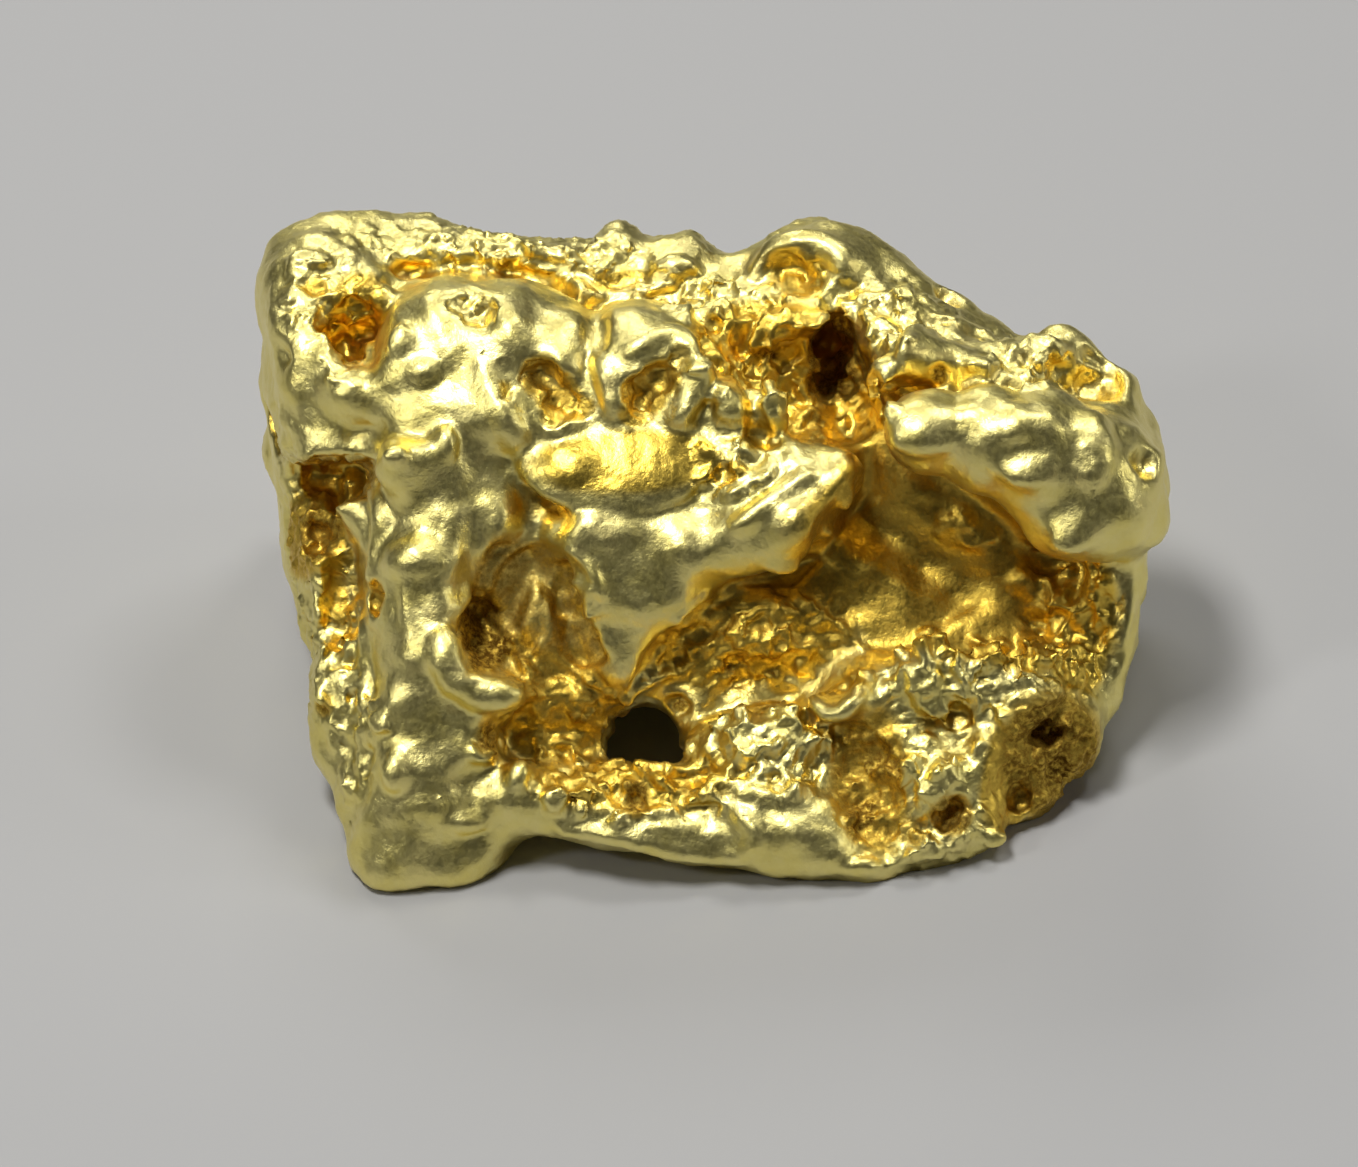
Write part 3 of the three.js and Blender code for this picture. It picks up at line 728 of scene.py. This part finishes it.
def raised_lines(skin):
    """Rims, folds and flutes."""
    return [
        # rim of the pit in the broad lobe
        *ridge(skin, [(-2.93, 2.4), (-2.72, 1.85), (-2.45, 1.4), (-2.15, 1.15)], 0.24, 0.26, 0.72),
        *ridge(skin, [(-2.15, 1.15), (-1.8, 1.25), (-1.5, 1.5)], 0.2, 0.18, 0.72),
        *ridge(skin, [(-3.3, 3.4), (-3.1, 3.45), (-2.9, 3.38)], 0.14, sunk=0.75),
        # bright shoulders between the two lobes
        *ridge(skin, [(-1.42, 2.6), (-1.3, 2.3), (-1.2, 1.95), (-1.1, 1.7)], 0.24, 0.22, 0.72),
        # crescent over the crater
        *ridge(skin, [(-1.0, 2.62), (-0.7, 2.82), (-0.35, 2.76), (-0.15, 2.45)], 0.22, 0.2, 0.72),
        *ridge(skin, [(-0.15, 2.45), (-0.18, 2.1), (-0.35, 1.75)], 0.2, 0.18, 0.72),
        # arch of the hump
        *ridge(skin, [(0.65, 3.7), (0.88, 4.0), (1.3, 4.1), (1.68, 3.9), (1.75, 3.6)], 0.2, sunk=0.6),
        # folds along the back of the top
        *ridge(skin, [(-4.2, 3.85), (-3.5, 3.9), (-2.7, 3.85), (-1.95, 3.6), (-1.5, 3.35)], 0.1),
        *ridge(skin, [(-3.6, 4.2), (-2.9, 4.15), (-2.1, 3.95), (-1.4, 3.65)], 0.12, sunk=0.6),
        *ridge(skin, [(-0.9, 3.4), (-0.2, 3.2), (0.5, 3.1), (1.0, 2.95)], 0.12, sunk=0.6),
        # broken ground behind the knob
        *ridge(skin, [(3.75, 2.45), (4.2, 2.7), (4.7, 2.5), (5.1, 2.2)], 0.14, sunk=0.6),
        *ridge(skin, [(2.4, 3.3), (3.1, 2.95), (3.7, 2.75)], 0.13, sunk=0.6),
        # front edge of the shelf
        *ridge(skin, [(-2.0, 0.8), (-1.6, 0.7), (-0.9, 0.6), (-0.2, 0.6), (0.3, 0.7)], 0.15, sunk=0.7),
        *ridge(skin, [(0.35, 0.3), (0.8, 0.6), (1.25, 0.95)], 0.18, sunk=0.6),
        # crescent under the brown pocket
        *ridge(skin, [(-3.45, -1.15), (-3.32, -1.52), (-2.97, -1.82), (-2.5, -1.74)], 0.27, 0.2, 0.45),
        # crescent right of the rough hollow, and the flutes beyond it
        *ridge(skin, [(1.3, -1.9), (1.55, -2.12), (1.85, -1.95), (1.95, -1.6)], 0.15, sunk=0.55),
        *ridge(skin, [(2.7, -1.3), (2.8, -1.7), (2.72, -2.05)], 0.15),
        *ridge(skin, [(3.2, -1.4), (3.28, -1.75)], 0.15),
        # lip
        *ridge(skin, [(-1.9, -3.6), (-1.1, -3.72), (-0.3, -3.9), (0.4, -3.98)], 0.14, 0.18, 0.6),
        *ridge(skin, [(0.35, -3.35), (0.6, -3.7), (0.45, -3.95)], 0.16, sunk=0.6),
        # thin wall at the right, and the edge of the dark hollow
        *ridge(skin, [(5.42, -0.25), (5.42, -0.7), (5.32, -1.2)], 0.12),
        # left face
        *ridge(skin, [(-4.35, 0.95), (-4.2, 0.4), (-4.3, -0.1)], 0.2, sunk=0.6),
    ]


def thin_lines(skin):
    """Sharper ribs and edges."""
    return [
        # rims and ribs of the moulds left of the tongue
        *ridge(skin, [(-2.1, 0.18), (-2.55, 0.02), (-2.82, -0.25), (-2.9, -0.55), (-3.18, -0.9)], 0.08),
        *ridge(skin, [(-2.1, 0.18), (-1.6, -0.15), (-1.4, -0.6)], 0.08),
        *ridge(skin, [(-2.01, -0.22), (-2.1, -0.65), (-2.08, -1.1), (-2.28, -1.3)], 0.08),
        *ridge(skin, [(-2.0, -1.35), (-1.6, -1.65), (-1.15, -1.95)], 0.09),
        *ridge(skin, [(-2.55, -1.15), (-2.35, -1.6), (-2.25, -2.1), (-2.35, -2.45)], 0.1),
        # golden fold over the hole, and the edges of the moulds
        *ridge(skin, [(-1.1, -2.0), (-0.95, -1.78), (-0.5, -1.6)], 0.11),
        *ridge(skin, [(-0.8, -1.3), (-0.2, -0.68), (0.1, -0.56), (1.0, -0.52)], 0.08),
        *ridge(skin, [(1.06, -0.52), (1.5, -0.85), (1.97, -1.29)], 0.08),
        *ridge(skin, [(1.16, -0.5), (1.6, -0.05), (1.87, 0.26), (2.2, 0.62)], 0.08),
        *ridge(skin, [(0.0, -1.15), (0.4, -1.05), (0.75, -1.1)], 0.08),
        # thin wall at the right, and the edge of the dark hollow
        *ridge(skin, [(4.55, -1.9), (4.85, -2.2), (4.95, -2.6)], 0.11, sunk=0.6),
        # left face
        *ridge(skin, [(-4.76, 0.0), (-4.5, -0.8), (-4.45, -1.6), (-4.5, -2.4), (-4.52, -2.9)], 0.11),
    ]


def beads(skin):
    places = [
        # across, up, and three radii
        (-4.05, 1.2, 0.2, 0.16, 0.16), (-3.4, 1.35, 0.16, 0.26, 0.14), (-4.3, 3.35, 0.24, 0.22, 0.2),
        (-3.55, 3.78, 0.2, 0.13, 0.14), (-3.1, 3.88, 0.25, 0.12, 0.14), (-5.3, 3.85, 0.3, 0.22, 0.14),
        (-4.0, 2.75, 0.2, 0.3, 0.12), (-3.7, 2.35, 0.2, 0.2, 0.12), (0.35, 3.1, 0.2, 0.1, 0.12),
        (-0.45, 3.7, 0.3, 0.22, 0.15), (1.75, 2.9, 0.18, 0.14, 0.14), (2.05, 3.25, 0.25, 0.16, 0.16),
        (2.6, 3.0, 0.18, 0.2, 0.16), (2.35, 2.35, 0.3, 0.18, 0.2), (3.42, 2.4, 0.2, 0.13, 0.16),
        (3.9, 2.2, 0.3, 0.12, 0.14), (4.6, 2.3, 0.22, 0.12, 0.14), (0.93, -0.2, 0.26, 0.14, 0.14),
        (1.74, 0.75, 0.14, 0.26, 0.16), (-2.95, -2.62, 0.24, 0.14, 0.16), (-2.45, -2.95, 0.2, 0.28, 0.2),
        (-2.0, -3.2, 0.2, 0.22, 0.18), (-3.2, -3.5, 0.35, 0.16, 0.16), (-4.2, -2.2, 0.24, 0.18, 0.18),
        (-4.05, -2.85, 0.2, 0.28, 0.18), (0.15, -3.1, 0.3, 0.2, 0.2), (1.1, -3.1, 0.22, 0.22, 0.18),
        (2.6, -2.8, 0.16, 0.22, 0.16), (3.0, -2.9, 0.16, 0.2, 0.16), (2.75, -3.9, 0.34, 0.16, 0.18),
        (3.6, -3.7, 0.25, 0.18, 0.16), (4.35, -0.65, 0.28, 0.24, 0.22), (4.05, -0.4, 0.2, 0.18, 0.16),
        (1.9, -4.1, 0.3, 0.14, 0.14), (-3.85, -0.7, 0.16, 0.5, 0.1), (-4.65, 0.75, 0.2, 0.3, 0.16),
        (0.3, 0.75, 0.2, 0.16, 0.16), (0.25, 1.3, 0.18, 0.14, 0.14), (-0.1, 1.05, 0.16, 0.12, 0.12),
    ]
    pieces = []
    for across, up, *size in places:
        pieces += bead(skin, across, up, size)
    return pieces


def rough_patches(skin):
    return [
        *grains(skin, (0.55, 2.4), (0.75, 0.55), 40, 0.08, 0.18, 11),
        *grains(skin, (2.0, 1.9), (0.4, 0.5), 26, 0.08, 0.18, 12),
        *grains(skin, (2.2, 3.0), (0.5, 0.4), 26, 0.08, 0.16, 13),
        *grains(skin, (4.3, 2.3), (0.75, 0.25), 30, 0.07, 0.13, 14, lean=-25),
        *grains(skin, (-5.1, 3.3), (0.5, 0.6), 34, 0.07, 0.16, 15),
        *grains(skin, (-4.7, 2.6), (0.35, 0.6), 22, 0.07, 0.14, 16),
        *grains(skin, (-5.15, 0.2), (0.4, 0.6), 34, 0.08, 0.17, 17),
        *grains(skin, (-4.85, -1.3), (0.35, 1.2), 60, 0.07, 0.15, 18, stretch=1.6),
        *grains(skin, (-4.5, -2.4), (0.35, 0.8), 30, 0.07, 0.14, 19),
        *grains(skin, (0.3, 1.1), (0.6, 0.4), 26, 0.08, 0.16, 20, lean=30),
        *grains(skin, (0.5, -1.3), (1.0, 0.4), 40, 0.08, 0.2, 21),
        *grains(skin, (-1.75, -0.9), (0.35, 0.5), 18, 0.06, 0.12, 22),
        *grains(skin, (3.35, 0.28), (0.42, 0.26), 34, 0.05, 0.1, 23),
        *grains(skin, (2.95, -1.6), (0.6, 0.4), 40, 0.06, 0.13, 34, stretch=2.2),
        *grains(skin, (3.9, -1.65), (0.7, 0.45), 44, 0.08, 0.17, 24, stretch=1.8),
        *grains(skin, (4.7, -1.1), (0.45, 0.8), 36, 0.08, 0.16, 25, stretch=1.8),
        *grains(skin, (4.3, -2.65), (0.5, 0.6), 60, 0.05, 0.12, 26),
        *grains(skin, (0.7, -2.45), (0.85, 0.36), 44, 0.07, 0.15, 27, stretch=2.4),
        *grains(skin, (0.5, -3.1), (0.7, 0.35), 30, 0.08, 0.18, 28),
        *grains(skin, (-1.0, -3.1), (1.1, 0.36), 50, 0.08, 0.18, 29),
        *grains(skin, (-1.9, -2.3), (0.6, 0.5), 34, 0.07, 0.15, 30),
        *grains(skin, (2.6, -3.3), (0.9, 0.8), 46, 0.08, 0.18, 31),
        *grains(skin, (-2.6, 3.95), (1.6, 0.2), 46, 0.06, 0.15, 32, lean=-8),
        *grains(skin, (0.4, 3.2), (1.0, 0.25), 36, 0.06, 0.15, 33),
    ]


# ---------------------------------------------------------------- wear and colour


def worn_texture(piece, kind, size, strength, middle=0.5, group="", **settings):
    """Raises and lowers the skin by a procedural texture, measured in millimetres."""
    texture = bpy.data.textures.new(kind.lower(), kind)
    texture.noise_scale = size
    for name, value in settings.items():
        setattr(texture, name, value)
    step = piece.modifiers.new("worn", "DISPLACE")
    step.texture = texture
    step.texture_coords = "LOCAL"
    step.strength = strength
    step.mid_level = middle
    step.vertex_group = group
    apply(piece, step.name)


def within(corners, at, size, turn, boxed):
    """How far out each corner is from a hollow's middle: 1 on the hollow's own wall."""
    turned = Euler([math.radians(angle) for angle in turn]).to_matrix()
    inner = (corners - np.array(at)) @ np.array(turned) / np.array(size)
    return np.abs(inner).max(axis=1) if boxed else np.sqrt((inner**2).sum(axis=1))


def strongest(corners, places, softness):
    """The greatest of the places' depths at each corner, fading out just past each place's edge."""
    depths = np.zeros(len(corners))
    for at, size, turn, depth, boxed in places:
        reach = within(corners, at, size, turn, boxed)
        depths = np.maximum(depths, depth * np.clip((1 + softness - reach) / softness, 0, 1))
    return depths


def worn(corners):
    rims = [(at, size, turn, depth, False) for at, size, turn, depth in WORN_RIMS]
    return strongest(corners, rims, 0.5)


def roughen(body):
    """Crinkles the ground that the wear never reached."""
    corners = face_corners(body)
    hollows = [(at, size, turn, 0.8, False) for at, size, turn, *_ in ROUND_HOLLOWS]
    moulds = [(at, size, turn, 0.1, True) for at, size, turn, *_ in CRYSTAL_HOLLOWS]
    ground = [(at, size, turn, depth, False) for at, size, turn, depth in ROUGH_GROUND]
    depths = strongest(corners, hollows + moulds + ground, 0.4) * (1 - worn(corners))
    group = body.vertex_groups.new(name="rough")
    levels = np.round(depths * ROUGH_LEVELS).astype(int)
    for level in range(1, ROUGH_LEVELS + 1):
        group.add(np.flatnonzero(levels == level).tolist(), level / ROUGH_LEVELS, "REPLACE")
    worn_texture(body, "CLOUDS", 0.3, 0.2, group="rough", noise_depth=2, noise_type="HARD_NOISE")
    worn_texture(body, "CLOUDS", 0.14, 0.07, group="rough", noise_depth=1)
    body.vertex_groups.clear()


def occlusion_shade(body):
    """How closed in each corner is by the gold round it, used for painted shade: 0 in the open, 1 down in a
    pit.
    """
    corners = [corner.co for corner in body.data.vertices]
    tree = BVHTree.FromPolygons(corners, [face.vertices[:] for face in body.data.polygons])
    draw = random.Random(5)
    spread = []
    for _ in range(SHELTER_RAYS):
        height, turn = draw.uniform(-1, 1), draw.uniform(0, 2 * math.pi)
        level = math.sqrt(1 - height**2)
        spread.append(Vector((level * math.cos(turn), level * math.sin(turn), height)) * 0.98)
    shares = []
    for corner in body.data.vertices:
        normal = corner.normal
        start = corner.co + normal * 0.03
        met = [tree.ray_cast(start, way + normal, SHELTER_REACH)[0] is not None for way in spread]
        shares.append(sum(met) / SHELTER_RAYS)
    return np.array(shares)


def tint(body):
    """Marks the skin with its painted orange reflection, its stain, and how closed in it is, which is used
    for painted shade.
    """
    corners = face_corners(body)
    rounded = [(*hollow, False) for hollow in ROUND_HOLLOWS + SMOOTH_HOLLOWS + TINTED_GROUND]
    boxed = [(*hollow, True) for hollow in CRYSTAL_HOLLOWS]
    painted_reflection = [(at, size, turn, depth, flat) for at, size, turn, depth, _, flat in rounded + boxed]
    stain = [(at, size, turn, depth, flat) for at, size, turn, _, depth, flat in rounded + boxed]
    bare = 1 - worn(corners)
    # The orange is a painted reflection of gold in gold; the closed-in share becomes painted shade, held
    # back on worn places. The stain is the gold's own.
    layers = {
        "painted_reflection": strongest(corners, painted_reflection, 0.35) * bare,
        "stain": strongest(corners, stain, 0.25) * bare,
        "occlusion_shade": occlusion_shade(body) * (0.3 + 0.7 * bare),
    }
    for name, values in layers.items():
        layer = body.data.attributes.new(name, "FLOAT", "POINT")
        layer.data.foreach_set("value", values.astype(np.float32))


def held_in(body):
    """Presses back, over a soft margin, whatever has come to stand out past the solid's box."""
    corners = read(body.data.vertices, "co").astype(float)
    for axis in range(3):
        for side, edge in ((-1, NUGGET_LOW[axis]), (1, NUGGET_LOW[axis] + NUGGET_SIZE[axis])):
            start = edge - side * HOLD_MARGIN
            past = side * (corners[:, axis] - start)
            if past.max() > HOLD_MARGIN:
                pressed = start + side * past * HOLD_MARGIN / past.max()
                corners[:, axis] = np.where(past > 0, pressed, corners[:, axis])
    body.data.vertices.foreach_set("co", corners.astype(np.float32).ravel())
    body.data.update()


def stood_on_its_feet(body):
    """Takes off whatever reaches below the surface that the nugget rests on."""
    bpy.ops.mesh.primitive_cube_add(size=FLOOR_BLOCK, location=(0, 0, NUGGET_LOW.z - FLOOR_BLOCK / 2))
    floor_block = bpy.context.active_object
    step = body.modifiers.new("feet", "BOOLEAN")
    step.operation = "DIFFERENCE"
    step.solver = "MANIFOLD"
    step.object = floor_block
    apply(body, step.name)
    bpy.data.objects.remove(floor_block)
    return body


def build_nugget():
    body = copy_of_solid()
    remesh(body, ROUGH_VOXEL)
    masses = top_left_masses() + lobe_masses() + shelf_masses() + right_masses() + lower_masses()
    body = add(body, masses + back_masses(), ROUGH_VOXEL, 4)
    swellings = []
    for at, size, turn in spots_around(Surface(body), 60, 0.25, 0.6, 0.75, 43):
        swellings += lump(at, size, turn, rounds=3)
    body = add(body, swellings, ROUGH_VOXEL, 3)
    worn_texture(body, "CLOUDS", 0.75, 0.16, noise_depth=1)
    worn_texture(body, "CLOUDS", 0.4, 0.11, noise_depth=0)
    press(body, BROAD_STROKES)
    body = cut(body, round_cutters(Surface(body)) + crystal_cutters(), FINE_VOXEL, 3)
    skin = Surface(body)
    body = add(body, knob() + worn_slopes() + raised_lines(skin) + beads(skin), FINE_VOXEL, 4)
    skin = Surface(body)
    body = add(body, thin_lines(skin) + rough_patches(skin), FINE_VOXEL, 2)
    roughen(body)
    worn_texture(body, "CLOUDS", 0.18, 0.035, noise_depth=2)
    body = stood_on_its_feet(body)
    held_in(body)
    return body


def thin_out(body):
    triangles = sum(len(face.vertices) - 2 for face in body.data.polygons)
    step = body.modifiers.new("thin", "DECIMATE")
    step.ratio = min(1.0, MOST_TRIANGLES / triangles)
    apply(body, step.name)


nugget = build_nugget()
thin_out(nugget)
tint(nugget)
nugget.data.transform(Matrix.Scale(MM, 4))
nugget.name = "gold_nugget"
only(nugget)
bpy.ops.object.shade_smooth()


# ---------------------------------------------------------------- finish


class Nodes:
    """A short way to write a material's nodes."""

    def __init__(self, material):
        material.use_nodes = True
        self.tree = material.node_tree
        self.shader = self.tree.nodes["Principled BSDF"]

    def link(self, source, target):
        self.tree.links.new(source, target)

    def attribute(self, name):
        node = self.tree.nodes.new("ShaderNodeAttribute")
        node.attribute_name = name
        return node.outputs["Fac"]

    def noise(self, size, detail=4.0, roughness=0.5):
        """Noise whose grain is about the given size in millimetres."""
        place = self.tree.nodes.new("ShaderNodeTexCoord")
        node = self.tree.nodes.new("ShaderNodeTexNoise")
        node.inputs["Scale"].default_value = 1 / (size * MM)
        node.inputs["Detail"].default_value = detail
        node.inputs["Roughness"].default_value = roughness
        self.link(place.outputs["Object"], node.inputs["Vector"])
        return node.outputs["Fac"]

    def ramp(self, value, low, high, start=0.0, end=1.0):
        """Maps low..high to start..end, and holds it there outside."""
        node = self.tree.nodes.new("ShaderNodeMapRange")
        self.link(value, node.inputs["Value"])
        limits = {"From Min": low, "From Max": high, "To Min": start, "To Max": end}
        for name, number in limits.items():
            node.inputs[name].default_value = number
        return node.outputs["Result"]

    def maths(self, operation, first, second):
        node = self.tree.nodes.new("ShaderNodeMath")
        node.operation = operation
        for socket, value in zip(node.inputs, (first, second)):
            if isinstance(value, (int, float)):
                socket.default_value = value
            else:
                self.link(value, socket)
        return node.outputs[0]

    def blend(self, share, first, second):
        """Mixes two colours, each a colour or another node's output."""
        node = self.tree.nodes.new("ShaderNodeMix")
        node.data_type = "RGBA"
        self.link(share, node.inputs["Factor"])
        for socket, value in ((node.inputs["A"], first), (node.inputs["B"], second)):
            if isinstance(value, tuple):
                socket.default_value = (*value, 1)
            else:
                self.link(value, socket)
        return node.outputs["Result"]

    def bump(self, height, strength, distance, under=None):
        node = self.tree.nodes.new("ShaderNodeBump")
        node.inputs["Strength"].default_value = strength
        node.inputs["Distance"].default_value = distance * MM
        self.link(height, node.inputs["Height"])
        if under is not None:
            self.link(under, node.inputs["Normal"])
        return node.outputs["Normal"]


def gold_material():
    """Pale worn gold, painted orange where it is sunk as a reflection of gold in gold and darkened there as
    painted shade, with brown stain in the most sunken pits.
    """
    material = bpy.data.materials.new("worn_native_gold")
    nodes = Nodes(material)
    shader = nodes.shader
    patches = nodes.noise(0.5, 5.0, 0.6)
    speckle = nodes.noise(0.07, 3.0, 0.6)
    # Painted shade: how closed in each place is, from the occlusion attribute.
    painted_shade = nodes.ramp(nodes.attribute("occlusion_shade"), 0.12, 0.75)
    # Painted reflection: orange in the hollows and in closed-in places, where gold would reflect gold.
    painted_reflection = nodes.maths("MAXIMUM", nodes.attribute("painted_reflection"), painted_shade)
    # Orange share: random patches, and the painted reflection.
    patches_and_painted_reflection = nodes.ramp(nodes.maths("ADD", nodes.maths("MULTIPLY", patches, 0.8), painted_reflection), 0.45, 1.15)
    stain = nodes.maths("MULTIPLY", nodes.attribute("stain"), nodes.ramp(speckle, 0.35, 0.6, 0.35, 1.0))
    painted_shade_darkening = nodes.maths("MULTIPLY", nodes.maths("POWER", painted_shade, 1.5), 0.6)
    skin = nodes.blend(nodes.ramp(patches, 0.35, 0.65), (0.90, 0.77, 0.24), (0.93, 0.82, 0.33))
    # Painted reflection: orange where gold reflects gold.
    skin = nodes.blend(patches_and_painted_reflection, skin, (0.91, 0.64, 0.10))
    # Painted shade: darker brown-orange in closed-in places.
    skin = nodes.blend(painted_shade_darkening, skin, (0.50, 0.29, 0.03))
    skin = nodes.blend(stain, skin, (0.22, 0.115, 0.015))
    nodes.link(skin, shader.inputs["Base Color"])
    rough = nodes.ramp(speckle, 0.3, 0.7, 0.34, 0.45)
    rough = nodes.maths("SUBTRACT", rough, nodes.maths("MULTIPLY", patches_and_painted_reflection, 0.05))
    rough = nodes.maths("ADD", rough, nodes.maths("MULTIPLY", stain, 0.45))
    nodes.link(rough, shader.inputs["Roughness"])
    shader.inputs["Metallic"].default_value = 1.0
    coarse = nodes.bump(nodes.noise(0.16, 4.0, 0.6), 0.35, 0.035)
    fine = nodes.bump(speckle, 0.4, 0.012, coarse)
    nodes.link(fine, shader.inputs["Normal"])
    return material


nugget.data.materials.clear()
nugget.data.materials.append(gold_material())
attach(nugget, "root")
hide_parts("nugget")


# ---------------------------------------------------------------- floor and lights


def plain(name, colour, roughness):
    material = bpy.data.materials.new(name)
    material.use_nodes = True
    shader = material.node_tree.nodes["Principled BSDF"]
    shader.inputs["Base Color"].default_value = (*colour, 1)
    shader.inputs["Roughness"].default_value = roughness
    return material


def set_floor():
    bpy.ops.mesh.primitive_plane_add(size=1.2, location=(0, 0, 0))
    floor = bpy.context.active_object
    floor.name = "floor"
    floor.data.materials.append(plain("pale_floor", (0.44, 0.435, 0.425), 0.6))


def softbox(name, place, aim, side, power):
    """A square soft light. Places are in millimetres."""
    data = bpy.data.lights.new(name, "AREA")
    data.shape = "RECTANGLE"
    data.size, data.size_y = side[0] * MM, side[1] * MM
    data.energy = power
    light = bpy.data.objects.new(name, data)
    bpy.context.scene.collection.objects.link(light)
    light.location = Vector(place) * MM
    light.rotation_euler = (Vector(aim) - Vector(place)).to_track_quat("-Z", "Y").to_euler()


def set_lights():
    """Soft boxes round the nugget: their angles up from the camera's view and to its right, in degrees."""
    boxes = [
        # up, right, distance, sides, brightness
        (46, -12, 110, (38, 20), 32.0),
        (25, -45, 120, (16, 16), 22.0),
        (72, 22, 120, (36, 22), 13.0),
        (30, 65, 120, (18, 40), 6.0),
        (104, -8, 130, (60, 26), 7.0),
    ]
    middle = Vector((0, 0, 2.5))
    out = FACE.to_3x3() @ Vector((0, 0, 1))
    over = Vector((0, math.sin(FACE_LEAN), math.cos(FACE_LEAN)))
    for up, right, distance, sides, brightness in boxes:
        up, right = math.radians(up), math.radians(right)
        way = (out * math.cos(up) + over * math.sin(up)) * math.cos(right) + Vector((math.sin(right), 0, 0))
        power = brightness * math.pi * sides[0] * sides[1] * MM * MM
        softbox("softbox", middle + way * distance, middle, sides, power)
    world = bpy.data.worlds.new("studio")
    bpy.context.scene.world = world
    world.use_nodes = True
    world.node_tree.nodes["Background"].inputs["Color"].default_value = (0.02, 0.02, 0.021, 1)


set_floor()
set_lights()
bpy.context.scene.view_settings.view_transform = "Standard"
